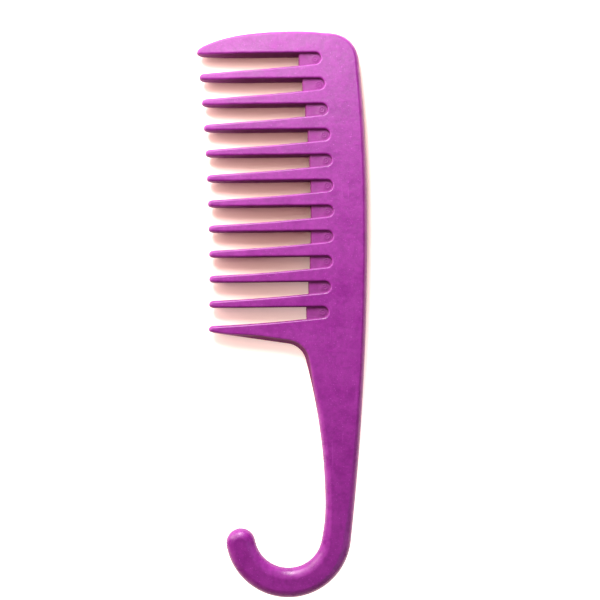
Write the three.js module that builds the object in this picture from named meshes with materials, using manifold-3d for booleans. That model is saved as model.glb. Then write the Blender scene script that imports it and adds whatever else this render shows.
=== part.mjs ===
/**
 * Wide tooth comb with a hook handle, millimetres, +Z up.
 *
 * The comb lies flat on its back. +Y runs along the comb, from the hook to the top of the head, and the
 * teeth point towards -X. The origin is under the middle of the comb, at the height that it lies on.
 *
 * The real comb is a single moulding. It is made here as its features: the spine, twelve teeth, the web
 * that closes the root of each gap, the handle and the hook. They meet on flat cuts.
 */
import * as THREE from 'three';
import { mergeVertices } from 'three/addons/utils/BufferGeometryUtils.js';
import Module from 'manifold-3d';

const wasm = await Module();
wasm.setup();

// Overall size
const LENGTH = 241;
const WIDTH = 71.6;
const THICKNESS = 7.2;
const HALF_LENGTH = LENGTH / 2;
const HALF_WIDTH = WIDTH / 2;
const MIDPLANE = THICKNESS / 2;

// Moulded edges: the outside of the comb is nearly a bullnose, the teeth have a small radius
const EDGE_WIDTH = 3;
const EDGE_LAND = 0.6;
const EDGE_STEPS = 4;
const TOOTH_EDGE = 0.7;
const TOOTH_EDGE_STEPS = 2;
const CURVE_STEPS = 12;

// Outer edge of the spine and handle: two long arcs that meet at the crest
const CREST = new THREE.Vector2(HALF_WIDTH, 47);
const UPPER_SWEEP = 650;
const LOWER_SWEEP = 1210;

// Top of the head
const CROWN = new THREE.Vector2(5, HALF_LENGTH);
const CORNER_START = new THREE.Vector2(19, HALF_LENGTH - 0.9);
const CORNER_END_Y = 106;
const CORNER_PULL = new THREE.Vector2(28, 114);
const CROWN_PULL = -13;
const TIP_PULL = new THREE.Vector2(7, 4);

// Teeth: the lower side of each is square to the spine, and the upper side widens to the root
const TOOTH_COUNT = 12;
const PITCH = 10.68;
const FIRST_TOOTH_Y = 110.4;
const TOOTH_ROOT_WIDTH = 6.3;
const TOOTH_TIP_WIDTH = 3.3;
const NOSE_LENGTH = 3;
const NOSE_HEIGHT = 1.5;
const NOSE_THICKNESS = 4.6;
const NOSE_BLUNTNESS = 0.7;
const TAPER_LENGTH = 20;
const TIP_CREST_Y = 27;
const TIP_SWEEP = 900;

// Gaps: a round end at the root, closed for its last stretch by a web that is recessed from both faces
const GAP_ROOT = PITCH - TOOTH_ROOT_WIDTH;
const GAP_END_RADIUS = GAP_ROOT / 2;
const GAP_CREST = new THREE.Vector2(21, 47);
const GAP_SWEEP = 420;
const WEB_LENGTH = 9.2;
const WEB_THICKNESS = 4.6;
const WEB_SEAM = 0.05;

// Last tooth: its lower side slopes down into the neck of the handle
const NECK_SLOPE = -0.155;
const NECK_Y = -11.6;
const NECK_RADIUS = 9;

// Handle and hook
const GRIP = new THREE.Vector2(16.5, -80);
const GRIP_SWEEP = 250;
const HOOK_OUTER = 26.9;
const HOOK_INNER = 14.4;
const HOOK_Y = -HALF_LENGTH + HOOK_OUTER;
const HOOK_END_ANGLE = THREE.MathUtils.degToRad(189.5);

// Flat cuts between the pieces
const ROOT_X = 14;
const NECK_CUT_Y = -14;
const HOOK_CUT_Y = GRIP.y;

// How far cutting solids run past what they cut
const PAST = 10;
const ORIGIN = new THREE.Vector2(0, 0);

const PLASTIC = { color: 0xa9389c, roughness: 0.45, metalness: 0 };

/** Turns a closed geometry into a solid. */
function solid(geometry) {
  const bare = geometry.clone();
  bare.deleteAttribute('normal');
  bare.deleteAttribute('uv');
  const merged = mergeVertices(bare);
  return new wasm.Manifold(new wasm.Mesh({
    numProp: 3,
    vertProperties: new Float32Array(merged.attributes.position.array),
    triVerts: new Uint32Array(merged.index.array),
  }));
}

/** Turns a solid back into a named mesh with a material of its own. */
function piece(name, body) {
  const mesh = body.getMesh();
  const geometry = new THREE.BufferGeometry();
  geometry.setAttribute('position', new THREE.BufferAttribute(mesh.vertProperties, 3));
  geometry.setIndex(new THREE.BufferAttribute(mesh.triVerts, 1));
  geometry.computeVertexNormals();
  const made = new THREE.Mesh(geometry, new THREE.MeshStandardMaterial(PLASTIC));
  made.name = name;
  return made;
}

/** A box between two corners, as a solid. */
function block(x0, x1, y0, y1) {
  const geometry = new THREE.BoxGeometry(x1 - x0, y1 - y0, THICKNESS + 2 * PAST);
  return solid(geometry.translate((x0 + x1) / 2, (y0 + y1) / 2, MIDPLANE));
}

/** An outline seen from above, raised to the full thickness with rounded edges of a given width. */
function slab(outline, edge, land, steps) {
  const geometry = new THREE.ExtrudeGeometry(outline, {
    depth: land,
    curveSegments: CURVE_STEPS,
    bevelEnabled: true,
    bevelSize: edge,
    bevelOffset: -edge,
    bevelThickness: (THICKNESS - land) / 2,
    bevelSegments: steps,
  });
  return solid(geometry.translate(0, 0, MIDPLANE - land / 2));
}

/** An outline seen from above, raised between two heights with square edges. */
function plate(outline, bottom, top) {
  const geometry = new THREE.ExtrudeGeometry(outline, {
    depth: top - bottom,
    curveSegments: CURVE_STEPS,
    bevelEnabled: false,
  });
  return solid(geometry.translate(0, 0, bottom));
}

/** How far an arc of a given radius falls back from its crest. */
function fall(radius, away) {
  return radius - Math.sqrt(radius ** 2 - away ** 2);
}

/** The lower side of a tooth, counted from 1 at the top of the head. */
function toothY(number) {
  return FIRST_TOOTH_Y - (number - 1) * PITCH;
}

/** The tip of a tooth: the tips lie on a long arc, and the first one sets the width of the comb. */
function tipX(number) {
  const fallAt = (k) => fall(TIP_SWEEP, toothY(k) + NOSE_HEIGHT - TIP_CREST_Y);
  return fallAt(1) - HALF_WIDTH - fallAt(number);
}

/** The round end of the gap below a tooth. */
function gapEndX(number) {
  return GAP_CREST.x - fall(GAP_SWEEP, toothY(number) - GAP_END_RADIUS - GAP_CREST.y);
}

/** The centre of the hook: its outside is tangent to the outer edge of the handle. */
function hookCentre() {
  const down = CREST.y - HOOK_Y;
  const across = Math.sqrt((LOWER_SWEEP - HOOK_OUTER) ** 2 - down ** 2);
  return new THREE.Vector2(CREST.x - LOWER_SWEEP + across, HOOK_Y);
}

/** The fillet in the neck: tangent to the last tooth's lower side and to the inner edge of the grip. */
function neckFillet() {
  const along = new THREE.Vector2(1, NECK_SLOPE).normalize();
  const out = new THREE.Vector2(along.y, -along.x);
  const grip = new THREE.Vector2(GRIP.x - GRIP_SWEEP, GRIP.y);
  const start = new THREE.Vector2(0, NECK_Y).addScaledVector(out, NECK_RADIUS);
  const offset = start.clone().sub(grip);
  const half = offset.dot(along);
  const rest = offset.lengthSq() - (GRIP_SWEEP - NECK_RADIUS) ** 2;
  const centre = start.addScaledVector(along, -half + Math.sqrt(half ** 2 - rest));
  return {
    centre,
    toothAngle: Math.atan2(-out.y, -out.x),
    gripAngle: Math.atan2(centre.y - grip.y, centre.x - grip.x),
    grip,
  };
}

/** The whole comb seen from above, with the tooth side closed by a line just past the tips. */
function blankOutline() {
  const hook = hookCentre();
  const neck = neckFillet();
  const reach = GRIP.x - hook.x;
  const drop = GRIP.y - HOOK_Y;
  const bend = (reach ** 2 + drop ** 2 - HOOK_INNER ** 2) / (2 * (reach - HOOK_INNER));
  const bendAngle = Math.atan2(-drop, hook.x - GRIP.x + bend);
  const outerAngle = Math.atan2(HOOK_Y - CREST.y, hook.x - CREST.x + LOWER_SWEEP);
  const rod = (HOOK_OUTER + HOOK_INNER) / 2;
  const rodEnd = hook.clone().add(new THREE.Vector2(rod, 0).rotateAround(ORIGIN, HOOK_END_ANGLE));
  const rodRadius = (HOOK_OUTER - HOOK_INNER) / 2;
  const cornerX = CREST.x - fall(UPPER_SWEEP, CORNER_END_Y - CREST.y);
  const cornerAngle = Math.asin((CORNER_END_Y - CREST.y) / UPPER_SWEEP);
  const first = new THREE.Vector2(tipX(1), toothY(1) + TOOTH_TIP_WIDTH - EDGE_LAND);
  const lastX = tipX(TOOTH_COUNT) - PAST;

  const s = new THREE.Shape();
  s.moveTo(first.x - EDGE_WIDTH, first.y);
  s.lineTo(lastX, NECK_Y + NECK_SLOPE * lastX);
  s.absarc(neck.centre.x, neck.centre.y, NECK_RADIUS, neck.toothAngle, neck.gripAngle, true);
  s.absarc(neck.grip.x, neck.grip.y, GRIP_SWEEP, neck.gripAngle, 0, true);
  s.absarc(GRIP.x - bend, GRIP.y, bend, 0, bendAngle, true);
  s.absarc(hook.x, hook.y, HOOK_INNER, bendAngle, HOOK_END_ANGLE - 2 * Math.PI, true);
  s.absarc(rodEnd.x, rodEnd.y, rodRadius, HOOK_END_ANGLE - Math.PI, HOOK_END_ANGLE, false);
  s.absarc(hook.x, hook.y, HOOK_OUTER, HOOK_END_ANGLE - 2 * Math.PI, outerAngle, false);
  s.absarc(CREST.x - LOWER_SWEEP, CREST.y, LOWER_SWEEP, outerAngle, 0, false);
  s.absarc(CREST.x - UPPER_SWEEP, CREST.y, UPPER_SWEEP, 0, cornerAngle, false);
  s.bezierCurveTo(cornerX, CORNER_PULL.y, CORNER_PULL.x, CORNER_START.y, CORNER_START.x, CORNER_START.y);
  s.quadraticCurveTo((CORNER_START.x + CROWN.x) / 2, CROWN.y, CROWN.x, CROWN.y);
  s.bezierCurveTo(CROWN_PULL, CROWN.y, first.x + TIP_PULL.x, first.y + TIP_PULL.y, first.x, first.y);
  return s;
}

/** A quarter of a tooth's blunt nose, as a curve from the very tip to the straight side behind it. */
function noseCurve(tip, side) {
  const corner = new THREE.Vector2(tip.x, side.y);
  const nearTip = tip.clone().lerp(corner, NOSE_BLUNTNESS);
  const nearSide = side.clone().lerp(corner, NOSE_BLUNTNESS);
  return new THREE.CubicBezierCurve(tip, nearTip, nearSide, side);
}

/** Draws a tooth's side from above: from its root to its tip along the flat lower side. */
function drawLowerSide(s, number) {
  const y = toothY(number);
  const tip = new THREE.Vector2(tipX(number), y + NOSE_HEIGHT);
  const side = new THREE.Vector2(tip.x + NOSE_LENGTH, y);
  s.moveTo(ROOT_X + PAST, y);
  noseCurve(tip, side).getPoints(CURVE_STEPS / 2).reverse().forEach((p) => s.lineTo(p.x, p.y));
}

/** Draws a tooth's side from above: from its tip to its root along the upper side, which widens. */
function drawUpperSide(s, number) {
  const y = toothY(number);
  const tip = new THREE.Vector2(tipX(number), y + NOSE_HEIGHT);
  const side = new THREE.Vector2(tip.x + NOSE_LENGTH, y + TOOTH_TIP_WIDTH);
  noseCurve(tip, side).getPoints(CURVE_STEPS / 2).slice(1).forEach((p) => s.lineTo(p.x, p.y));
  s.lineTo(ROOT_X, y + TOOTH_ROOT_WIDTH);
  s.lineTo(ROOT_X + PAST, y + TOOTH_ROOT_WIDTH);
}

/** The taper of a tooth seen from the side, as a solid: its nose is thinner than its root. */
function toothSide(number) {
  const tip = new THREE.Vector2(tipX(number), MIDPLANE);
  const nose = NOSE_THICKNESS / 2;
  const s = new THREE.Shape();
  s.moveTo(tip.x, tip.y);
  for (const side of [-1, 1]) {
    const at = (along, half) => new THREE.Vector2(tip.x + along, MIDPLANE + side * half);
    const noseEnd = at(NOSE_LENGTH, nose);
    const shoulder = at(TAPER_LENGTH / 2, MIDPLANE);
    const full = at(TAPER_LENGTH, MIDPLANE);
    const points = [
      noseCurve(tip, noseEnd),
      new THREE.QuadraticBezierCurve(noseEnd, shoulder, full),
    ].flatMap((curve) => curve.getPoints(CURVE_STEPS / 2).slice(1));
    points.push(new THREE.Vector2(ROOT_X + PAST, full.y));
    if (side > 0) points.reverse();
    points.forEach((p) => s.lineTo(p.x, p.y));
  }
  const depth = 4 * PITCH;
  const geometry = new THREE.ExtrudeGeometry(s, { depth, bevelEnabled: false });
  return solid(geometry.rotateX(Math.PI / 2).translate(0, toothY(number) + depth / 2, 0));
}

/** The gap below a tooth, seen from above, drawn smaller by an inset. */
function gapOutline(number, inset) {
  const top = toothY(number) - inset;
  const radius = GAP_END_RADIUS - inset;
  const centreX = gapEndX(number) - GAP_END_RADIUS;
  const s = new THREE.Shape();
  const tipEnd = tipX(number + 1) + NOSE_LENGTH;
  const tipSide = toothY(number + 1) + TOOTH_TIP_WIDTH + inset;
  s.moveTo(tipEnd, top);
  s.lineTo(tipEnd, tipSide);
  s.lineTo(ROOT_X, toothY(number + 1) + TOOTH_ROOT_WIDTH + inset);
  s.absarc(centreX, top - radius, radius, -Math.PI / 2, Math.PI / 2, false);
  return s;
}

/** A tooth between others, or, at an end of the row, one with a side on the outside of the comb. */
function tooth(number, blank) {
  const first = number === 1;
  const last = number === TOOTH_COUNT;
  const tip = tipX(number);
  const root = ROOT_X + PAST;
  const s = new THREE.Shape();
  if (last) {
    s.moveTo(root, toothY(number) - 2 * PITCH);
    s.lineTo(tip, toothY(number) - 2 * PITCH);
    s.lineTo(tip, toothY(number) + NOSE_HEIGHT);
  } else {
    drawLowerSide(s, number);
  }
  if (first) {
    s.lineTo(tip, toothY(number) + 2 * PITCH);
    s.lineTo(root, toothY(number) + 2 * PITCH);
  } else {
    drawUpperSide(s, number);
  }
  const whole = slab(s, TOOTH_EDGE, THICKNESS - 2 * TOOTH_EDGE, TOOTH_EDGE_STEPS);
  return (first || last ? whole.intersect(blank) : whole)
    .intersect(toothSide(number))
    .intersect(block(-HALF_WIDTH - PAST, ROOT_X, NECK_CUT_Y, HALF_LENGTH + PAST));
}

/** The web in the root of the gap below a tooth. */
function rootWeb(number) {
  const edge = gapEndX(number) - WEB_LENGTH;
  return plate(gapOutline(number, WEB_SEAM), MIDPLANE - WEB_THICKNESS / 2, MIDPLANE + WEB_THICKNESS / 2)
    .intersect(block(edge, HALF_WIDTH, -HALF_LENGTH, HALF_LENGTH));
}

/** The spine: the head behind the teeth, with the round end of each gap cut into it. */
function spine(blank) {
  let body = blank.intersect(block(ROOT_X, HALF_WIDTH + PAST, NECK_CUT_Y, HALF_LENGTH + PAST));
  for (let number = 1; number < TOOTH_COUNT; number += 1) {
    body = body.subtract(plate(gapOutline(number, 0), -PAST, THICKNESS + PAST));
  }
  return body;
}

const comb = new THREE.Group();
const blank = slab(blankOutline(), EDGE_WIDTH, EDGE_LAND, EDGE_STEPS);
const wide = HALF_WIDTH + PAST;
const label = (number) => String(number).padStart(2, '0');

comb.add(piece('spine', spine(blank)));
comb.add(piece('handle', blank.intersect(block(-wide, wide, HOOK_CUT_Y, NECK_CUT_Y))));
comb.add(piece('hook', blank.intersect(block(-wide, wide, -HALF_LENGTH - PAST, HOOK_CUT_Y))));
for (let number = 1; number <= TOOTH_COUNT; number += 1) {
  comb.add(piece(`tooth_${label(number)}`, tooth(number, blank)));
}
for (let number = 1; number < TOOTH_COUNT; number += 1) {
  comb.add(piece(`root_web_${label(number)}`, rootWeb(number)));
}

export default comb;
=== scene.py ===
"""A wide tooth comb with a hook handle, moulded in purple plastic, lying on a pale studio floor.

Every outline is worked out in millimetres, seen from above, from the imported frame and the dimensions
named below. The comb is one moulding, so its skin is made in one go and then cut on the flat planes
between the CAD nodes.
"""

import math
from collections import namedtuple

import bmesh
import bpy
from mathutils import Matrix, Vector
from mathutils.geometry import delaunay_2d_cdt


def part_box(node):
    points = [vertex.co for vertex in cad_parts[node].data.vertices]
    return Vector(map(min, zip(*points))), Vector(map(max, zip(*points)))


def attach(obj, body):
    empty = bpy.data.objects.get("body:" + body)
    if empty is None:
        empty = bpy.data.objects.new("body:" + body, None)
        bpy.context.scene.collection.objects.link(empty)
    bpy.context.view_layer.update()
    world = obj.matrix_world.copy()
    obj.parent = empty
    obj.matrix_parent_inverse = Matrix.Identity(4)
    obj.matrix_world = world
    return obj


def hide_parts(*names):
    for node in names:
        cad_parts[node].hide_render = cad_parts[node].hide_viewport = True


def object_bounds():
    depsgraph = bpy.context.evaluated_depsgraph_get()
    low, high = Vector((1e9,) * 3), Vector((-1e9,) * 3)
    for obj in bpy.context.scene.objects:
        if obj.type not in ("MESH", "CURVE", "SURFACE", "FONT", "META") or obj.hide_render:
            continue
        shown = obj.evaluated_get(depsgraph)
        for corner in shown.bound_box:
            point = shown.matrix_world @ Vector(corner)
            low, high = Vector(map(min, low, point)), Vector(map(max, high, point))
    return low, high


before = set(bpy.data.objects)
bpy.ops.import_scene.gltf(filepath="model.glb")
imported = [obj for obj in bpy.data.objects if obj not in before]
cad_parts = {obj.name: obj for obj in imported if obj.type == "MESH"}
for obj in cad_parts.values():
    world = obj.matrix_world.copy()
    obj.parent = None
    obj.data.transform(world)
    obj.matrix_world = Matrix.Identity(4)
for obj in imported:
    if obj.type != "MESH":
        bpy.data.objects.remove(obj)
cad_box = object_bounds()

MM = 0.001


def millimetres(corners):
    """The two corners of a box, from metres to millimetres."""
    return tuple(Vector(corner) / MM for corner in corners)


# --------------------------------------------------------------------------------------------------
# Places that come from the frame
# --------------------------------------------------------------------------------------------------

TEETH = sum(name.startswith("tooth_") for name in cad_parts)
LOW, HIGH = millimetres(cad_box)
MIDPLANE = (LOW.z + HIGH.z) / 2
HALF_THICKNESS = (HIGH.z - LOW.z) / 2


def tooth_box(number):
    """The box of a tooth's CAD node."""
    return millimetres(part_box(f"tooth_{number:02d}"))


def web_box(number):
    """The box of a root web's CAD node."""
    return millimetres(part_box(f"root_web_{number:02d}"))


TIP_X = {number: tooth_box(number)[0].x for number in range(1, TEETH + 1)}
ROOT_X = tooth_box(2)[1].x
FIRST_TOOTH_Y = tooth_box(1)[0].y
PITCH = FIRST_TOOTH_Y - tooth_box(2)[0].y
TOOTH_ROOT_WIDTH = tooth_box(2)[1].y - tooth_box(2)[0].y
NECK_CUT_Y = millimetres(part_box("spine"))[0].y
HOOK_CUT_Y = millimetres(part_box("hook"))[1].y

# --------------------------------------------------------------------------------------------------
# Driving dimensions, the same as those of the CAD part
# --------------------------------------------------------------------------------------------------

CREST = Vector((HIGH.x, 47))
UPPER_SWEEP = 650
LOWER_SWEEP = 1210
CROWN = Vector((5, HIGH.y))
CORNER_START = Vector((19, HIGH.y - 0.9))
CORNER_END_Y = 106
CORNER_PULL = Vector((28, 114))
CROWN_PULL = -13
SHOULDER_DROP = 0.6  # the head's top ends this far below the first tooth's width at its tip
TIP_PULL = Vector((7, 4))

TOOTH_TIP_WIDTH = 3.3
NOSE_LENGTH = 3
NOSE_HEIGHT = 1.5
NOSE_BLUNTNESS = 0.7
GAP_ROOT = PITCH - TOOTH_ROOT_WIDTH
GAP_END_RADIUS = GAP_ROOT / 2
WEB_SEAM = 0.05  # a web's node stops this far short of the end of its gap
WEB_HALF = 2.3  # half the thickness of a web

NECK_SLOPE = -0.155
NECK_Y = -11.6
NECK_RADIUS = 9
GRIP = Vector((16.5, HOOK_CUT_Y))
GRIP_SWEEP = 250
HOOK_OUTER = 26.9
HOOK_INNER = 14.4
HOOK_Y = LOW.y + HOOK_OUTER
HOOK_END_ANGLE = math.radians(189.5)

# Details of the moulding that only the finished surface has
TAPER_LENGTH = 20  # a tooth thins towards its tip over this length
TAPER_DROP = 1.6  # and its half thickness loses this much
TAPER_POWER = 1.5  # it is lost slowly at first
FLARE = 1.5  # the upper side of a tooth curves out to its root as this power
PARTING_BEAD = 0.05  # the moulds' parting line stands this proud of the walls
BEAD_HALF = 0.11  # half the bead's height
BEAD_CORNER = (0.8, 0.7)  # the bead's corner, as shares of how proud and how high it is
BEAD_LEVELS = 3  # the points of the edge's section that belong to the bead
LEAST_WALL = 0.05  # the least wall that is left above the bead
DRAFT = math.tan(math.radians(2.2))
TOOTH_FILLET = 0.75  # rounding where a wall meets the face
NOSE_FILLET = 1.3  # the same at the tip, across and upwards
NOSE_FILLET_RISE = 1.75
UNDERSIDE_DRAFT = math.tan(math.radians(28))  # the last tooth's lower side and the neck lean far more
NOSE_REACH = 1.35  # how much longer the rounding is along the tooth than across it
OUTER_LAND = 0.3  # the wall that is left above the mid-plane where the outside is fully rounded
OUTER_TURN = math.radians(62)  # the outside's rounding meets the face in a soft crease before it is level
SPINE_EDGE = 2.0  # width of the outside's rounding along the spine, the grip and the hook
GRIP_EDGE = 2.7
HOOK_EDGE = 3.7
SPINE_EDGE_BLEND = 80  # length over which one width turns into the next
HOOK_EDGE_BLEND = 20
NECK_BLEND = 30  # length below the neck's cut over which its wall turns into the full rounding
INNER_REACH = 3  # the inner side of the neck and grip lies less than this past the teeth's roots
FILLET_STEPS = 8
SUPPORT = 0.15  # a ring of flat faces inside the rounding keeps the face's shading flat
WALL_SPACING = 1.0  # between the stations along a tooth's walls
WEB_FILLET = 0.18
WEB_FILLET_STEPS = 4
WEB_NOSE = 0.6  # rounding of a web's free edge
WEB_NOSE_STEPS = 4
WEB_EMBED = 0.15  # how far a web reaches into the walls round it
WEB_EDGE_CLEAR = 0.3  # no station of a web lies closer than this behind its first one

# Ejector pin mark in a root web: radius and height above the web, from its outside in
PIN_MARK = [
    (1.15, 0),
    (1.08, 0.035),
    (0.98, 0.035),
    (0.9, -0.02),
    (0.38, -0.02),
    (0.3, 0.02),
    (0.12, 0.02),
]
PIN_STEPS = 28

# Painted shade, with duller roughness: how much of it shows on a tooth's wall at its tip and on a web
TIP_SHADE_AND_DULLNESS = 0.15
WEB_SHADE_AND_DULLNESS = 0.42

CUT_TOLERANCE = 1e-6
FILL_TOLERANCE = 1e-7


def clamp(value, low=0.0, high=1.0):
    """A value held between two limits."""
    return max(low, min(high, value))


def smooth(value):
    """An S-shaped ramp from 0 to 1."""
    t = clamp(value)
    return t * t * (3 - 2 * t)


def mix(a, b, amount):
    """The value that lies this share of the way from one to another."""
    return a + (b - a) * amount


def fall(radius, away):
    """How far an arc falls back from its crest."""
    return radius - math.sqrt(radius**2 - away**2)


def tooth_y(number):
    """The lower side of a tooth, counted from 1 at the top of the head."""
    return FIRST_TOOTH_Y - (number - 1) * PITCH


def tooth_at(y):
    """The number of the tooth that is nearest to a height on the head."""
    return int(clamp(math.ceil((FIRST_TOOTH_Y - GAP_END_RADIUS - y) / PITCH) + 1, 1, TEETH))


def towards_tip(x, y):
    """0 where a tooth has its full thickness, growing to 1 at its tip."""
    if y < NECK_CUT_Y:
        return 0
    return clamp(1 - (x - TIP_X[tooth_at(y)]) / TAPER_LENGTH)


def half_height(x, y):
    """Half the thickness of the comb at a point seen from above."""
    return HALF_THICKNESS - TAPER_DROP * towards_tip(x, y) ** TAPER_POWER


# --------------------------------------------------------------------------------------------------
# The outline: a closed line of stations, each with the way inwards and the rounding of its edge
# --------------------------------------------------------------------------------------------------

Station = namedtuple("Station", "point inward fillet rise draft turn")


def arc(centre, radius, start, end, steps):
    """Points on an arc, first and last included."""
    angles = [mix(start, end, i / steps) for i in range(steps + 1)]
    return [centre + radius * Vector((math.cos(a), math.sin(a))) for a in angles]


def bezier(controls, steps):
    """Points on a Bezier curve of any degree, first and last included."""
    points = []
    for i in range(steps + 1):
        level = list(controls)
        while len(level) > 1:
            level = [a.lerp(b, i / steps) for a, b in zip(level, level[1:])]
        points.append(level[0])
    return points


def straight(start, end, spacing):
    """Points on a line, first and last included."""
    steps = max(1, round((end - start).length / spacing))
    return [start.lerp(end, i / steps) for i in range(steps + 1)]


def stations(points, edge):
    """Stations along an open line; edge gives the fillet, its rise, the draft and the turn at a point."""
    made = []
    for i, point in enumerate(points):
        along = points[min(i + 1, len(points) - 1)] - points[max(i - 1, 0)]
        along.normalize()
        made.append(Station(point, Vector((-along.y, along.x)), *edge(point)))
    return made


def tooth_edge(point):
    """The small rounding of a tooth, which grows into a round nose at the tip."""
    tip = towards_tip(point.x, point.y) ** 2
    return mix(TOOTH_FILLET, NOSE_FILLET, tip), mix(TOOTH_FILLET, NOSE_FILLET_RISE, tip), DRAFT, math.pi / 2


def underside_edge(point):
    """The leaning wall of the last tooth's lower side, which starts as the tip's."""
    fillet, rise, draft, turn = tooth_edge(point)
    along = smooth((point.x - TIP_X[TEETH] - NOSE_LENGTH) / TAPER_LENGTH)
    return fillet, rise, mix(draft, UNDERSIDE_DRAFT, along), turn


def outer_edge(width, amount, inner_edge=tooth_edge):
    """The full rounding of the outside, or partly that of a tooth where amount is under 1."""

    def edge(point):
        """The fillet, its rise, the draft and the turn at a point."""
        part = smooth(amount(point))
        whole = half_height(point.x, point.y) - OUTER_LAND
        outer = (width(point), whole, 0, OUTER_TURN)
        return [mix(a, b, part) for a, b in zip(inner_edge(point), outer)]

    return edge


def nose(tip, side, slope, steps=12):
    """Stations of a quarter of a tooth's nose, from its tip to the side behind it.

    The way inwards at each of them leads to the same curve, drawn a millimetre further in.
    """

    def curve(inset):
        """The nose's line, drawn this far inside it."""
        end = side + inset * Vector((slope, -1)).normalized() * math.copysign(1, side.y - tip.y)
        start = tip + Vector((inset * NOSE_REACH, 0))
        corner = Vector((start.x, end.y - slope * (end.x - start.x)))
        pulls = [point.lerp(corner, NOSE_BLUNTNESS) for point in (start, end)]
        return bezier([start, *pulls, end], steps)

    return [Station(p, q - p, *tooth_edge(p)) for p, q in zip(curve(0), curve(1))]


def tooth_tip(number):
    """The foremost point of a tooth."""
    return Vector((TIP_X[number], tooth_y(number) + NOSE_HEIGHT))


def upper_side_y(number, x):
    """The upper side of a tooth, which curves out towards its root."""
    start = TIP_X[number] + NOSE_LENGTH
    along = (x - start) / (gap_end(number - 1).x - start)
    return tooth_y(number) + mix(TOOTH_TIP_WIDTH, TOOTH_ROOT_WIDTH, max(along, 0) ** FLARE)


def gap_end(number):
    """The centre of the round end of the gap below a tooth."""
    x = web_box(number)[1].x + WEB_SEAM - GAP_END_RADIUS
    return Vector((x, tooth_y(number) - GAP_END_RADIUS))


def gap(number):
    """The stations round the gap below a tooth, from that tooth's tip to the next one's."""
    y = tooth_y(number)
    tip = tooth_tip(number)
    side = Vector((tip.x + NOSE_LENGTH, y))
    centre = gap_end(number)
    below = tooth_tip(number + 1)
    below_side = Vector((below.x + NOSE_LENGTH, tooth_y(number + 1) + TOOTH_TIP_WIDTH))
    slope = FLARE * (TOOTH_ROOT_WIDTH - TOOTH_TIP_WIDTH) / (centre.x - below_side.x)
    lower_wall = straight(side, Vector((centre.x, y)), WALL_SPACING)
    round_end = arc(centre, GAP_END_RADIUS, math.pi / 2, math.atan(slope) - math.pi / 2, steps=20)
    across = straight(Vector((round_end[-1].x, 0)), Vector((below_side.x, 0)), WALL_SPACING)
    upper_wall = [Vector((p.x, upper_side_y(number + 1, p.x))) for p in across]
    upper_wall[0] = round_end[-1]
    wall = stations(lower_wall + round_end[1:] + upper_wall[1:], tooth_edge)
    wall[0] = wall[0]._replace(inward=Vector((0, 1)))
    wall[-1] = wall[-1]._replace(inward=Vector((0, -1)))
    return nose(tip, side, 0)[:-1] + wall + nose(below, below_side, 0)[::-1][1:-1]


def crown():
    """The stations from the crest of the spine round the head to the tip of the first tooth."""
    away = CORNER_END_Y - CREST.y
    corner_end = Vector((CREST.x - fall(UPPER_SWEEP, away), CORNER_END_Y))
    tip = tooth_tip(1)
    shoulder = Vector((tip.x, tooth_y(1) + TOOTH_TIP_WIDTH - SHOULDER_DROP))
    points = arc(CREST - Vector((UPPER_SWEEP, 0)), UPPER_SWEEP, 0, math.asin(away / UPPER_SWEEP), steps=30)
    pull = [Vector((corner_end.x, CORNER_PULL.y)), Vector((CORNER_PULL.x, CORNER_START.y))]
    points += bezier([corner_end, *pull, CORNER_START], steps=40)[1:]
    points += bezier([CORNER_START, Vector(((CORNER_START.x + CROWN.x) / 2, CROWN.y)), CROWN], steps=12)[1:]
    top = bezier([CROWN, Vector((CROWN_PULL, CROWN.y)), shoulder + TIP_PULL, shoulder], steps=60)[1:]
    points += [p for p in top if p.x > tip.x + NOSE_LENGTH]
    side = points[-1]
    slope = (points[-2].y - side.y) / (points[-2].x - side.x)
    edge = outer_edge(lambda p: SPINE_EDGE, lambda p: (p.x - tip.x) / (2 * TAPER_LENGTH))
    whole = stations(points, edge)
    front = nose(tip, side, slope)[::-1]
    whole[-1] = whole[-1]._replace(inward=front[0].inward)
    return whole + front[1:-1]


def hook_centre():
    """The hook's outside is tangent to the outer edge of the handle."""
    down = CREST.y - HOOK_Y
    across = math.sqrt((LOWER_SWEEP - HOOK_OUTER) ** 2 - down**2)
    return Vector((CREST.x - LOWER_SWEEP + across, HOOK_Y))


def neck_fillet():
    """The neck's fillet, tangent to the last tooth and to the grip: its centre and its two end angles."""
    along = Vector((1, NECK_SLOPE)).normalized()
    out = Vector((along.y, -along.x))
    grip = GRIP - Vector((GRIP_SWEEP, 0))
    start = Vector((0, NECK_Y)) + out * NECK_RADIUS
    offset = start - grip
    half = offset.dot(along)
    rest = offset.length_squared - (GRIP_SWEEP - NECK_RADIUS) ** 2
    centre = start + along * (math.sqrt(half**2 - rest) - half)
    return centre, math.atan2(-out.y, -out.x), math.atan2(centre.y - grip.y, centre.x - grip.x)


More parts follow.
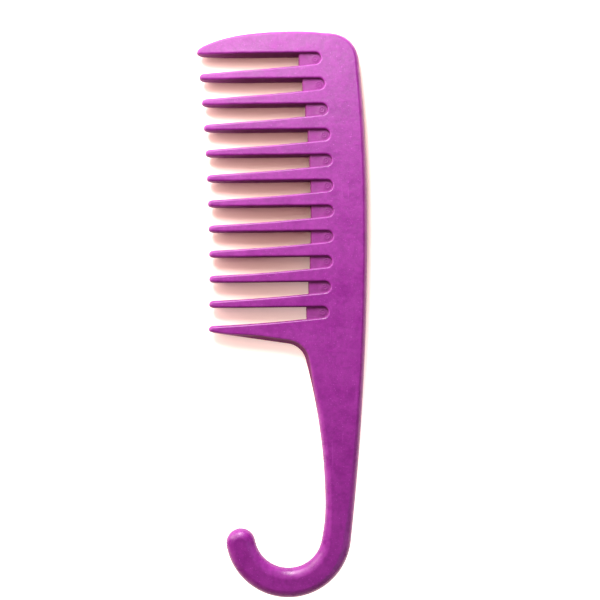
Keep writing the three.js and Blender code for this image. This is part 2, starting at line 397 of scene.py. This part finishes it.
def grip_and_hook():
    """The stations from the last tooth's tip down the grip, round the hook and back up to the crest."""
    tip = tooth_tip(TEETH)
    side = Vector((tip.x + NOSE_LENGTH, NECK_Y + NECK_SLOPE * (tip.x + NOSE_LENGTH)))
    neck, tooth_angle, grip_angle = neck_fillet()
    hook = hook_centre()
    reach = GRIP.x - hook.x
    drop = GRIP.y - HOOK_Y
    bend = (reach**2 + drop**2 - HOOK_INNER**2) / (2 * (reach - HOOK_INNER))
    bend_angle = math.atan2(-drop, hook.x - GRIP.x + bend)
    outer_angle = math.atan2(HOOK_Y - CREST.y, hook.x - CREST.x + LOWER_SWEEP)
    rod = (HOOK_OUTER + HOOK_INNER) / 2
    rod_end = hook + rod * Vector((math.cos(HOOK_END_ANGLE), math.sin(HOOK_END_ANGLE)))
    turn = 2 * math.pi

    fillet = arc(neck, NECK_RADIUS, tooth_angle, grip_angle, steps=24)
    points = straight(side, fillet[0], WALL_SPACING) + fillet[1:]
    points += arc(GRIP - Vector((GRIP_SWEEP, 0)), GRIP_SWEEP, grip_angle, 0, steps=32)[1:]
    points += arc(GRIP - Vector((bend, 0)), bend, 0, bend_angle, steps=8)[1:]
    points += arc(hook, HOOK_INNER, bend_angle, HOOK_END_ANGLE - turn, steps=56)[1:]
    dome = (HOOK_OUTER - HOOK_INNER) / 2
    points += arc(rod_end, dome, HOOK_END_ANGLE - math.pi, HOOK_END_ANGLE, steps=36)[1:]
    points += arc(hook, HOOK_OUTER, HOOK_END_ANGLE - turn, outer_angle, steps=80)[1:]
    points += arc(CREST - Vector((LOWER_SWEEP, 0)), LOWER_SWEEP, outer_angle, 0, steps=70)[1:-1]

    def width(point):
        """How wide the rounding is, from the spine to the hook."""
        if point.y < GRIP.y:
            return mix(GRIP_EDGE, HOOK_EDGE, smooth((GRIP.y - point.y) / HOOK_EDGE_BLEND))
        return mix(GRIP_EDGE, SPINE_EDGE, smooth((point.y - GRIP.y) / SPINE_EDGE_BLEND))

    def amount(point):
        """How full the rounding is."""
        inner = point.x < ROOT_X + INNER_REACH and point.y > GRIP.y
        return (NECK_CUT_Y - point.y) / NECK_BLEND if inner else 1

    front = nose(tip, side, NECK_SLOPE)
    whole = stations(points, outer_edge(width, amount, underside_edge))
    whole[0] = whole[0]._replace(inward=front[-1].inward)
    return front[:-1] + whole


def outline():
    """Every station of the comb, counter-clockwise from the crest of the spine."""
    whole = crown()
    for number in range(1, TEETH):
        whole += gap(number)
    return whole + grip_and_hook()


# --------------------------------------------------------------------------------------------------
# Meshes
# --------------------------------------------------------------------------------------------------


def edge_profile(station):
    """The section of the edge from the parting line to the face.

    Each point says how far in it lies, how far below the face, how rounded it is and how much painted shade
    and dullness it carries.
    """
    full = half_height(*station.point)
    foot = max(full - station.rise, BEAD_HALF + LEAST_WALL)
    wall_inset = PARTING_BEAD + station.draft * foot
    # Painted shade, with duller roughness, on drafted walls: full on the steep underside, none on the fully
    # rounded outside, lighter towards the tips
    painted_shade = clamp(station.draft / DRAFT) * mix(1, TIP_SHADE_AND_DULLNESS, towards_tip(*station.point))
    section = [
        (0, full, 0, painted_shade),
        (PARTING_BEAD * BEAD_CORNER[0], full - BEAD_HALF * BEAD_CORNER[1], 0, painted_shade),
        (PARTING_BEAD, full - BEAD_HALF, 0, painted_shade),
    ]
    for step in range(FILLET_STEPS + 1):
        turn = step / FILLET_STEPS * station.turn
        inset = wall_inset + station.fillet * (1 - math.cos(turn)) / (1 - math.cos(station.turn))
        below = station.rise * (1 - math.sin(turn) / math.sin(station.turn))
        roundness = math.sin(math.pi * step / FILLET_STEPS)
        section.append((inset, below, roundness, painted_shade * (1 - step / FILLET_STEPS) ** 2))
    section.append((wall_inset + station.fillet + SUPPORT, 0, 0, 0))
    return section


def triangulate(points, loops=None):
    """Triangles, as index triples, that fill closed loops; without loops, all the points are one."""
    result = delaunay_2d_cdt(points, [], loops or [list(range(len(points)))], 1, FILL_TOLERANCE)
    source = [given[0] for given in result[3]]
    return [[source[i] for i in face] for face in result[2]]


def new_shape():
    """An empty shape whose points say how much of a rounded rim they are and how much painted shade and
    dullness they carry.
    """
    shape = bmesh.new()
    shape.verts.layers.float.new("rim")
    shape.verts.layers.float.new("wall")
    return shape


def skin():
    """The closed surface of the whole comb but for the root webs, centred on its mid-plane."""
    shape = new_shape()
    rim = shape.verts.layers.float["rim"]
    # The wall layer holds how much painted shade and dullness a point carries
    wall = shape.verts.layers.float["wall"]
    line = outline()
    sections = [edge_profile(station) for station in line]
    middle = None
    for side in (1, -1):
        loops = []
        for level in range(len(sections[0])):
            if level == 0 and middle:
                loops.append(middle)
                continue
            loop = []
            for station, section in zip(line, sections):
                inset, below, roundness, shade_and_dullness = section[level]
                at = station.point + station.inward * inset
                height = half_height(*(station.point if level < BEAD_LEVELS else at)) - below
                vert = shape.verts.new((at.x, at.y, side * max(height, 0)))
                vert[rim] = roundness
                vert[wall] = shade_and_dullness
                loop.append(vert)
            loops.append(loop)
        middle = loops[0]
        for lower, upper in zip(loops, loops[1:]):
            for i in range(len(line)):
                j = (i + 1) % len(line)
                quad = [lower[i], lower[j], upper[j], upper[i]]
                shape.faces.new(quad[::side])
        inner = loops[-1]
        for triple in triangulate([vert.co.xy for vert in inner]):
            shape.faces.new([inner[i] for i in triple][::side])
    return shape


def keep(shape, point, away):
    """The part of a closed shape behind a plane, with a flat cap; away points to what is cut off."""
    part = shape.copy()
    geometry = part.verts[:] + part.edges[:] + part.faces[:]
    cut = bmesh.ops.bisect_plane(
        part, geom=geometry, dist=CUT_TOLERANCE, plane_co=point, plane_no=away, clear_outer=True
    )
    cut_edges = [item for item in cut["geom_cut"] if isinstance(item, bmesh.types.BMEdge)]
    bmesh.ops.triangle_fill(part, edges=cut_edges, use_beauty=True, normal=away)
    for edge in cut_edges:
        edge.smooth = False
    return part


def only_tooth(teeth, number):
    """One tooth out of the row."""
    part = teeth.copy()
    others = [vert for vert in part.verts if tooth_at(vert.co.y) != number]
    bmesh.ops.delete(part, geom=others, context="VERTS")
    return part


def to_object(shape, name, material):
    """A smooth-shaded object from a shape in millimetres about the mid-plane."""
    bmesh.ops.recalc_face_normals(shape, faces=shape.faces[:])
    for face in shape.faces:
        face.smooth = True
    shape.transform(Matrix.Scale(MM, 4) @ Matrix.Translation((0, 0, MIDPLANE)))
    mesh = bpy.data.meshes.new(name)
    shape.to_mesh(mesh)
    shape.free()
    mesh.materials.append(material)
    piece = bpy.data.objects.new(name, mesh)
    bpy.context.collection.objects.link(piece)
    return piece


def web_path(number):
    """Points and ways into a gap along its wall, from the web's free edge round the gap's end and back."""
    edge = web_box(number)[0].x + WEB_NOSE
    behind = [s for s in gap(number) if s.point.x > edge + WEB_EDGE_CLEAR]
    start = behind[0]._replace(point=Vector((edge, tooth_y(number))), inward=Vector((0, 1)))
    end = behind[-1]._replace(point=Vector((edge, upper_side_y(number + 1, edge))))
    return [(s.point, -s.inward) for s in [start, *behind, end]]


def web_section():
    """How far into the gap, and how high, a web's surface runs from inside the wall to its flat."""
    wall_at = -(PARTING_BEAD + DRAFT * (WEB_HALF + WEB_FILLET))
    section = [(wall_at - WEB_EMBED, WEB_HALF + WEB_FILLET)]
    for step in range(WEB_FILLET_STEPS + 1):
        turn = step / WEB_FILLET_STEPS * math.pi / 2
        into = wall_at + WEB_FILLET * (1 - math.cos(turn))
        section.append((into, WEB_HALF + WEB_FILLET * (1 - math.sin(turn))))
    return section


def new_web_vert(shape, place, shade_and_dullness=WEB_SHADE_AND_DULLNESS):
    """A point of a web, which carries some of the walls' painted shade and dullness."""
    vert = shape.verts.new(place)
    vert[shape.verts.layers.float["wall"]] = shade_and_dullness
    return vert


def root_web(number):
    """The web in the root of a gap, which meets the walls in fillets and has a pin mark on its front."""
    shape = new_shape()
    path = web_path(number)
    halves = []
    for side in (1, -1):
        loops = []
        for into, height in web_section():
            loops.append([new_web_vert(shape, (*(p + d * into), side * height)) for p, d in path])
        for outer, inner in zip(loops, loops[1:]):
            for i in range(len(path) - 1):
                shape.faces.new([outer[i], outer[i + 1], inner[i + 1], inner[i]][::side])
        halves.append(loops)
        flat = loops[-1]
        if side > 0:
            fill_round_mark(shape, flat, gap_end(number))
        else:
            for triple in triangulate([vert.co.xy for vert in flat]):
                shape.faces.new([flat[i] for i in triple])
    close_web(shape, *halves)
    return shape


def fill_round_mark(shape, flat, centre):
    """Fills a flat and puts the rings of a pin mark in it."""
    rings = []
    for radius, height in PIN_MARK:
        ring = []
        for p in arc(centre, radius, 0, 2 * math.pi, PIN_STEPS)[:-1]:
            ring.append(new_web_vert(shape, (p.x, p.y, WEB_HALF + height)))
        rings.append(ring)
    for outer, inner in zip(rings, rings[1:]):
        for i in range(PIN_STEPS):
            j = (i + 1) % PIN_STEPS
            shape.faces.new([outer[i], outer[j], inner[j], inner[i]])
    shape.faces.new(rings[-1])
    verts = flat + rings[0]
    loops = [list(range(len(flat))), list(range(len(flat), len(verts)))]
    for triple in triangulate([vert.co.xy for vert in verts], loops):
        corners = [verts[i] for i in triple]
        middle = sum((v.co.xy for v in corners), Vector((0, 0))) / 3
        if (middle - centre).length > PIN_MARK[0][0] * math.cos(math.pi / PIN_STEPS):
            shape.faces.new(corners)


def close_web(shape, front, back):
    """Joins a web's two faces inside the wall and over its rounded free edge."""
    for i in range(len(front[0]) - 1):
        shape.faces.new([front[0][i + 1], front[0][i], back[0][i], back[0][i + 1]])
    top, bottom = ([loop[0] for loop in half] + [loop[-1] for loop in half[::-1]] for half in (front, back))
    turns = [step / WEB_NOSE_STEPS for step in range(1, WEB_NOSE_STEPS + 1)]
    rows = [top]
    for side, row, order in ((1, top, turns), (-1, bottom, turns[::-1])):
        for turn in order:
            angle = turn * math.pi / 2
            shift = WEB_NOSE * math.sin(angle)
            drop = side * WEB_NOSE * (1 - math.cos(angle))
            places = [(v.co.x - shift, v.co.y, v.co.z - drop) for v in row]
            # The web's rounded free edge carries the full painted shade and dullness
            rows.append([new_web_vert(shape, place, shade_and_dullness=1) for place in places])
    rows.append(bottom)
    for upper, lower in zip(rows, rows[1:]):
        for i in range(len(upper) - 1):
            shape.faces.new([upper[i], upper[i + 1], lower[i + 1], lower[i]])
    shape.faces.new([row[0] for row in rows])
    shape.faces.new([row[-1] for row in rows][::-1])


# --------------------------------------------------------------------------------------------------
# Materials
# --------------------------------------------------------------------------------------------------

# Linear colours of the plastic: its two tones, its pale places (worn, and on the rims also painted
# highlight), and the painted shade of the walls between the teeth
PURPLE = (0.168, 0.0080, 0.178, 1)
PURPLE_DEEP = (0.122, 0.0046, 0.133, 1)
PURPLE_PALE = (0.25, 0.03, 0.27, 1)
PURPLE_WALL_SHADE = (0.095, 0.0025, 0.060, 1)

# Scales of the plastic's noises, from broad to fine
CLOUD_SCALE = 28
SCUFF_ZONE_SCALE = 45
MOTTLE_SCALE = 170
SPECKLE_SCALE = 620
SCRATCH_SCALE = 900
SPECK_SCALE = 1900
GRAIN_SCALE = 2600
SCRATCH_STRETCH = (1, 0.04, 1)

# What the noises and attributes do to the plastic: ranges of noise, and how much comes of them
TONE_RANGE = (0.42, 0.58)
SCRATCH_RANGE = (0.66, 0.74)
SCUFF_ZONE_RANGE = (0.52, 0.68)
SPECK_RANGE = (0.77, 0.80)
# Noise range that varies the rims' paleness, which is partly wear and partly painted highlight
WEAR_AND_HIGHLIGHT_RANGE = (0.42, 0.60)
SLOW_RANGE = (0.38, 0.62)
SCUFF_PALENESS = 0.5
SPECK_PALENESS = 0.8
# How pale the rims turn: partly wear, partly painted highlight
EDGE_WEAR_AND_HIGHLIGHT = (0.15, 0.50)
WALL_SHADE = 0.85
ROUGHNESS = (0.41, 0.58)
SCUFF_ROUGHNESS = 0.12
RIM_POLISH = 0.18
WALL_ROUGHNESS = 0.4
PLASTIC_IOR = 1.46

# The floor and its painted glow
FLOOR_TONES = ((0.87, 0.67, 0.63, 1), (0.89, 0.69, 0.65, 1))
FLOOR_CLOUD_SCALE = 3
FLOOR_CLOUD_RANGE = (0.3, 0.7)
FLOOR_ROUGHNESS = (0.75, 0.85)
# The floor glows, though it is no lamp, more and more away from a point by the head: a painted glow that
# washes out the comb's shadows by the grip and hook
GLOW_CENTRE = (-0.025, 0.080, 0)
FLOOR_GLOW_RAMP = (0.055, 0.17)  # metres from there over which the floor fades into the backdrop
GLOW_COLOUR = (1.0, 0.86, 0.80, 1)
GLOW_STRENGTH = 1.35


class Nodes:
    """A few short calls for building a material's nodes."""

    def __init__(self, material):
        material.use_nodes = True
        self.tree = material.node_tree
        self.shader = self.tree.nodes["Principled BSDF"]
        self.place = self.add("ShaderNodeTexCoord").outputs["Object"]

    def add(self, kind, **settings):
        """A new node with its settings."""
        node = self.tree.nodes.new(kind)
        for name, value in settings.items():
            setattr(node, name, value)
        return node

    def link(self, source, target):
        """A link between two sockets."""
        self.tree.links.new(source, target)

    def feed(self, socket, value):
        """Links a socket to another one, or sets it to a plain value."""
        if isinstance(value, bpy.types.NodeSocket):
            self.link(value, socket)
        else:
            socket.default_value = value

    def attribute(self, name):
        """A number that the mesh holds at its points."""
        return self.add("ShaderNodeAttribute", attribute_name=name).outputs["Fac"]

    def noise(self, scale, detail=2.0, roughness=0.5, stretch=(1, 1, 1)):
        """Noise over the object, from 0 to 1 and mostly near a half."""
        mapping = self.add("ShaderNodeMapping")
        mapping.inputs["Scale"].default_value = stretch
        self.link(self.place, mapping.inputs["Vector"])
        node = self.add("ShaderNodeTexNoise")
        node.inputs["Scale"].default_value = scale
        node.inputs["Detail"].default_value = detail
        node.inputs["Roughness"].default_value = roughness
        self.link(mapping.outputs["Vector"], node.inputs["Vector"])
        return node.outputs["Fac"]

    def remap(self, source, given, wanted):
        """Takes one range of values to another, and holds what lies outside it at its ends."""
        node = self.add("ShaderNodeMapRange")
        for name, value in zip(("From Min", "From Max", "To Min", "To Max"), (*given, *wanted)):
            node.inputs[name].default_value = value
        self.link(source, node.inputs["Value"])
        return node.outputs["Result"]

    def math(self, operation, a, b):
        """The result of one operation on two numbers or sockets."""
        node = self.add("ShaderNodeMath", operation=operation)
        self.feed(node.inputs[0], a)
        self.feed(node.inputs[1], b)
        return node.outputs["Value"]

    def weigh(self, a, b, share):
        """Two values added, the first with its share and the second with the rest."""
        return self.math("ADD", self.math("MULTIPLY", a, share), self.math("MULTIPLY", b, 1 - share))

    def blend(self, amount, a, b):
        """Two colours mixed."""
        node = self.add("ShaderNodeMix", data_type="RGBA")
        self.link(amount, node.inputs["Factor"])
        self.feed(node.inputs[6], a)
        self.feed(node.inputs[7], b)
        return node.outputs[2]

    def bump(self, height, distance, strength, below=None):
        """A bump on top of the one below."""
        node = self.add("ShaderNodeBump")
        node.inputs["Distance"].default_value = distance
        node.inputs["Strength"].default_value = strength
        self.link(height, node.inputs["Height"])
        if below:
            self.link(below, node.inputs["Normal"])
        return node.outputs["Normal"]


def moulded_plastic():
    """Satin purple plastic: fine grain, slow mottling, faint scuffs, slightly polished edges that are paler
    from wear and painted highlight, and painted shade on the walls.
    """
    material = bpy.data.materials.new("moulded_purple_plastic")
    nodes = Nodes(material)
    cloud = nodes.noise(CLOUD_SCALE)
    mottle = nodes.noise(MOTTLE_SCALE, detail=3, roughness=0.6)
    speckle = nodes.noise(SPECKLE_SCALE, roughness=0.6)
    grain = nodes.noise(GRAIN_SCALE, detail=3, roughness=0.7)
    scratches = nodes.noise(SCRATCH_SCALE, stretch=SCRATCH_STRETCH)
    scuff_zone = nodes.noise(SCUFF_ZONE_SCALE)
    rim = nodes.attribute("rim")
    # How much painted shade and dullness the walls and webs carry
    wall = nodes.attribute("wall")

    slow = nodes.weigh(mottle, cloud, 0.5)
    fine = nodes.weigh(speckle, grain, 0.6)
    tone = nodes.remap(nodes.weigh(slow, fine, 0.4), TONE_RANGE, (0, 1))
    scratched = nodes.remap(scratches, SCRATCH_RANGE, (0, 1))
    zones = nodes.remap(scuff_zone, SCUFF_ZONE_RANGE, (0, SCUFF_PALENESS))
    scuffs = nodes.math("MULTIPLY", scratched, zones)
    specks = nodes.remap(nodes.noise(SPECK_SCALE, detail=0), SPECK_RANGE, (0, SPECK_PALENESS))
    # Pale rims: partly wear, partly a painted highlight along the rounded edges
    worn_and_highlit = nodes.math("MULTIPLY", rim, nodes.remap(mottle, WEAR_AND_HIGHLIGHT_RANGE, EDGE_WEAR_AND_HIGHLIGHT))
    pale = nodes.math("MAXIMUM", nodes.math("MAXIMUM", scuffs, specks), worn_and_highlit)
    colour = nodes.blend(tone, PURPLE_DEEP, PURPLE)
    colour = nodes.blend(pale, colour, PURPLE_PALE)
    # Painted shade: the walls between the teeth, the webs and the last tooth's underside turn dark
    colour = nodes.blend(nodes.math("MULTIPLY", wall, WALL_SHADE), colour, PURPLE_WALL_SHADE)
    nodes.link(colour, nodes.shader.inputs["Base Color"])

    rough = nodes.remap(slow, SLOW_RANGE, ROUGHNESS)
    rough = nodes.math("ADD", rough, nodes.math("MULTIPLY", scuffs, SCUFF_ROUGHNESS))
    rough = nodes.math("SUBTRACT", rough, nodes.math("MULTIPLY", rim, RIM_POLISH))
    rough = nodes.math("ADD", rough, nodes.math("MULTIPLY", wall, WALL_ROUGHNESS))
    nodes.link(rough, nodes.shader.inputs["Roughness"])

    normal = nodes.bump(slow, distance=0.0018, strength=0.18)
    normal = nodes.bump(fine, distance=0.00010, strength=0.8, below=normal)
    normal = nodes.bump(scuffs, distance=0.00002, strength=0.5, below=normal)
    nodes.link(normal, nodes.shader.inputs["Normal"])
    nodes.shader.inputs["IOR"].default_value = PLASTIC_IOR
    return material


def floor_material():
    """A pale, almost even studio surface with a painted glow that grows away from the head, washing out the
    comb's shadows by the grip and hook as it fades into the lit backdrop.
    """
    material = bpy.data.materials.new("pale_floor")
    nodes = Nodes(material)
    cloud = nodes.noise(FLOOR_CLOUD_SCALE)
    nodes.link(nodes.blend(cloud, *FLOOR_TONES), nodes.shader.inputs["Base Color"])
    rough = nodes.remap(cloud, FLOOR_CLOUD_RANGE, FLOOR_ROUGHNESS)
    nodes.link(rough, nodes.shader.inputs["Roughness"])
    away = nodes.add("ShaderNodeVectorMath", operation="DISTANCE")
    nodes.link(nodes.place, away.inputs[0])
    away.inputs[1].default_value = GLOW_CENTRE
    # Painted glow that lightens the floor, and the comb's shadows on it, away from the head
    glow = nodes.remap(away.outputs["Value"], FLOOR_GLOW_RAMP, (0, GLOW_STRENGTH))
    nodes.shader.inputs["Emission Color"].default_value = GLOW_COLOUR
    nodes.link(glow, nodes.shader.inputs["Emission Strength"])
    return material


# --------------------------------------------------------------------------------------------------
# The scene
# --------------------------------------------------------------------------------------------------

# Metres and radians, but for the lens in millimetres and the shift as a share of the picture
CAMERA_HEIGHT = 0.320  # above the comb's top face
CAMERA_ROLL = 0.0120
CAMERA_TILT = math.radians(0.8)
CAMERA_AT = Vector((0.006651, 0.003610))
CAMERA_LENS = 45.53
CAMERA_SHIFT = 0.03

# Linear colours of the light from all round and of the backdrop that the camera sees
AMBIENT_COLOUR = (1.0, 0.42, 0.30, 1)
AMBIENT_STRENGTH = 0.32
BACKDROP_COLOUR = (1, 1, 1, 1)
FLOOR_RADIUS = 3


def add_camera():
    """A camera above the comb, slightly turned and tilted."""
    camera = bpy.data.objects.new("camera", bpy.data.cameras.new("camera"))
    turn = Matrix.Rotation(-CAMERA_ROLL, 4, "Z")
    height = HIGH.z * MM + CAMERA_HEIGHT
    place = Matrix.Translation((*CAMERA_AT, height))
    camera.matrix_world = turn @ place @ Matrix.Rotation(-CAMERA_TILT, 4, "X")
    camera.data.lens = CAMERA_LENS
    camera.data.sensor_width = 36
    camera.data.shift_y = CAMERA_SHIFT
    camera.data.clip_start = 0.01
    bpy.context.collection.objects.link(camera)
    bpy.context.scene.camera = camera


def add_area_light(name, place, target, size, power, colour, glossy=True):
    """A round soft light that points at its target; without glossy it shows in no reflection."""
    data = bpy.data.lights.new(name, "AREA")
    data.shape = "DISK"
    data.size = size
    data.energy = power
    data.color = colour
    light = bpy.data.objects.new(name, data)
    light.location = place
    light.visible_glossy = glossy
    light.rotation_euler = (Vector(target) - Vector(place)).to_track_quat("-Z", "Y").to_euler()
    bpy.context.collection.objects.link(light)


def add_lights():
    """Most of the light comes from beyond the head, warmer from the teeth's side and cool by the hook."""
    head = (0.0, 0.06, 0.0)
    middle = (0.0, 0.02, 0.0)
    grip = (0.0, -0.08, 0.0)
    add_area_light("key", (0.0, 0.20, 0.16), head, size=0.14, power=0.40, colour=(1.0, 0.99, 0.96))
    add_area_light("softbox", (-0.13, 0.42, 0.36), head, size=0.24, power=4.5, colour=(1.0, 0.97, 0.92))
    low = (-0.17, 0.46, 0.21)
    add_area_light("low_softbox", low, middle, size=0.38, power=4.0, colour=(1.0, 0.97, 0.94), glossy=False)
    add_area_light("side", (-0.36, 0.12, 0.22), middle, size=0.30, power=1.8, colour=(1.0, 0.88, 0.76))
    add_area_light("fill", (0.20, -0.25, 0.25), grip, size=0.30, power=0.3, colour=(0.45, 0.60, 1.0))


def add_world():
    """Warm light from all round, in front of a white backdrop."""
    world = bpy.data.worlds.new("studio")
    bpy.context.scene.world = world
    world.use_nodes = True
    nodes = world.node_tree.nodes
    links = world.node_tree.links
    ambient = nodes["Background"]
    ambient.inputs["Color"].default_value = AMBIENT_COLOUR
    ambient.inputs["Strength"].default_value = AMBIENT_STRENGTH
    backdrop = nodes.new("ShaderNodeBackground")
    backdrop.inputs["Color"].default_value = BACKDROP_COLOUR
    seen = nodes.new("ShaderNodeLightPath").outputs["Is Camera Ray"]
    shown = nodes.new("ShaderNodeMixShader")
    links.new(seen, shown.inputs["Fac"])
    links.new(ambient.outputs["Background"], shown.inputs[1])
    links.new(backdrop.outputs["Background"], shown.inputs[2])
    links.new(shown.outputs["Shader"], nodes["World Output"].inputs["Surface"])


def add_floor():
    """A round floor under the comb."""
    shape = bmesh.new()
    bmesh.ops.create_circle(shape, cap_ends=True, radius=FLOOR_RADIUS, segments=96)
    mesh = bpy.data.meshes.new("floor")
    shape.to_mesh(mesh)
    shape.free()
    mesh.materials.append(floor_material())
    floor = bpy.data.objects.new("floor", mesh)
    bpy.context.collection.objects.link(floor)


def make_comb():
    """One piece for each node of the frame."""
    plastic = moulded_plastic()
    whole = skin()
    neck = Vector((0, NECK_CUT_Y, 0))
    wrist = Vector((0, HOOK_CUT_Y, 0))
    root = Vector((ROOT_X, 0, 0))
    head = keep(whole, neck, Vector((0, -1, 0)))
    below = keep(whole, neck, Vector((0, 1, 0)))
    teeth = keep(head, root, Vector((1, 0, 0)))
    shapes = {
        "spine": keep(head, root, Vector((-1, 0, 0))),
        "handle": keep(below, wrist, Vector((0, -1, 0))),
        "hook": keep(below, wrist, Vector((0, 1, 0))),
    }
    for number in range(1, TEETH + 1):
        shapes[f"tooth_{number:02d}"] = only_tooth(teeth, number)
    for number in range(1, TEETH):
        shapes[f"root_web_{number:02d}"] = root_web(number)
    for spare in (whole, head, below, teeth):
        spare.free()
    for node, shape in shapes.items():
        piece = to_object(shape, f"{node}_skin", plastic)
        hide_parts(node)
        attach(piece, "root")


add_camera()
add_world()
add_floor()
make_comb()
add_lights()
bpy.context.scene.view_settings.view_transform = "Standard"
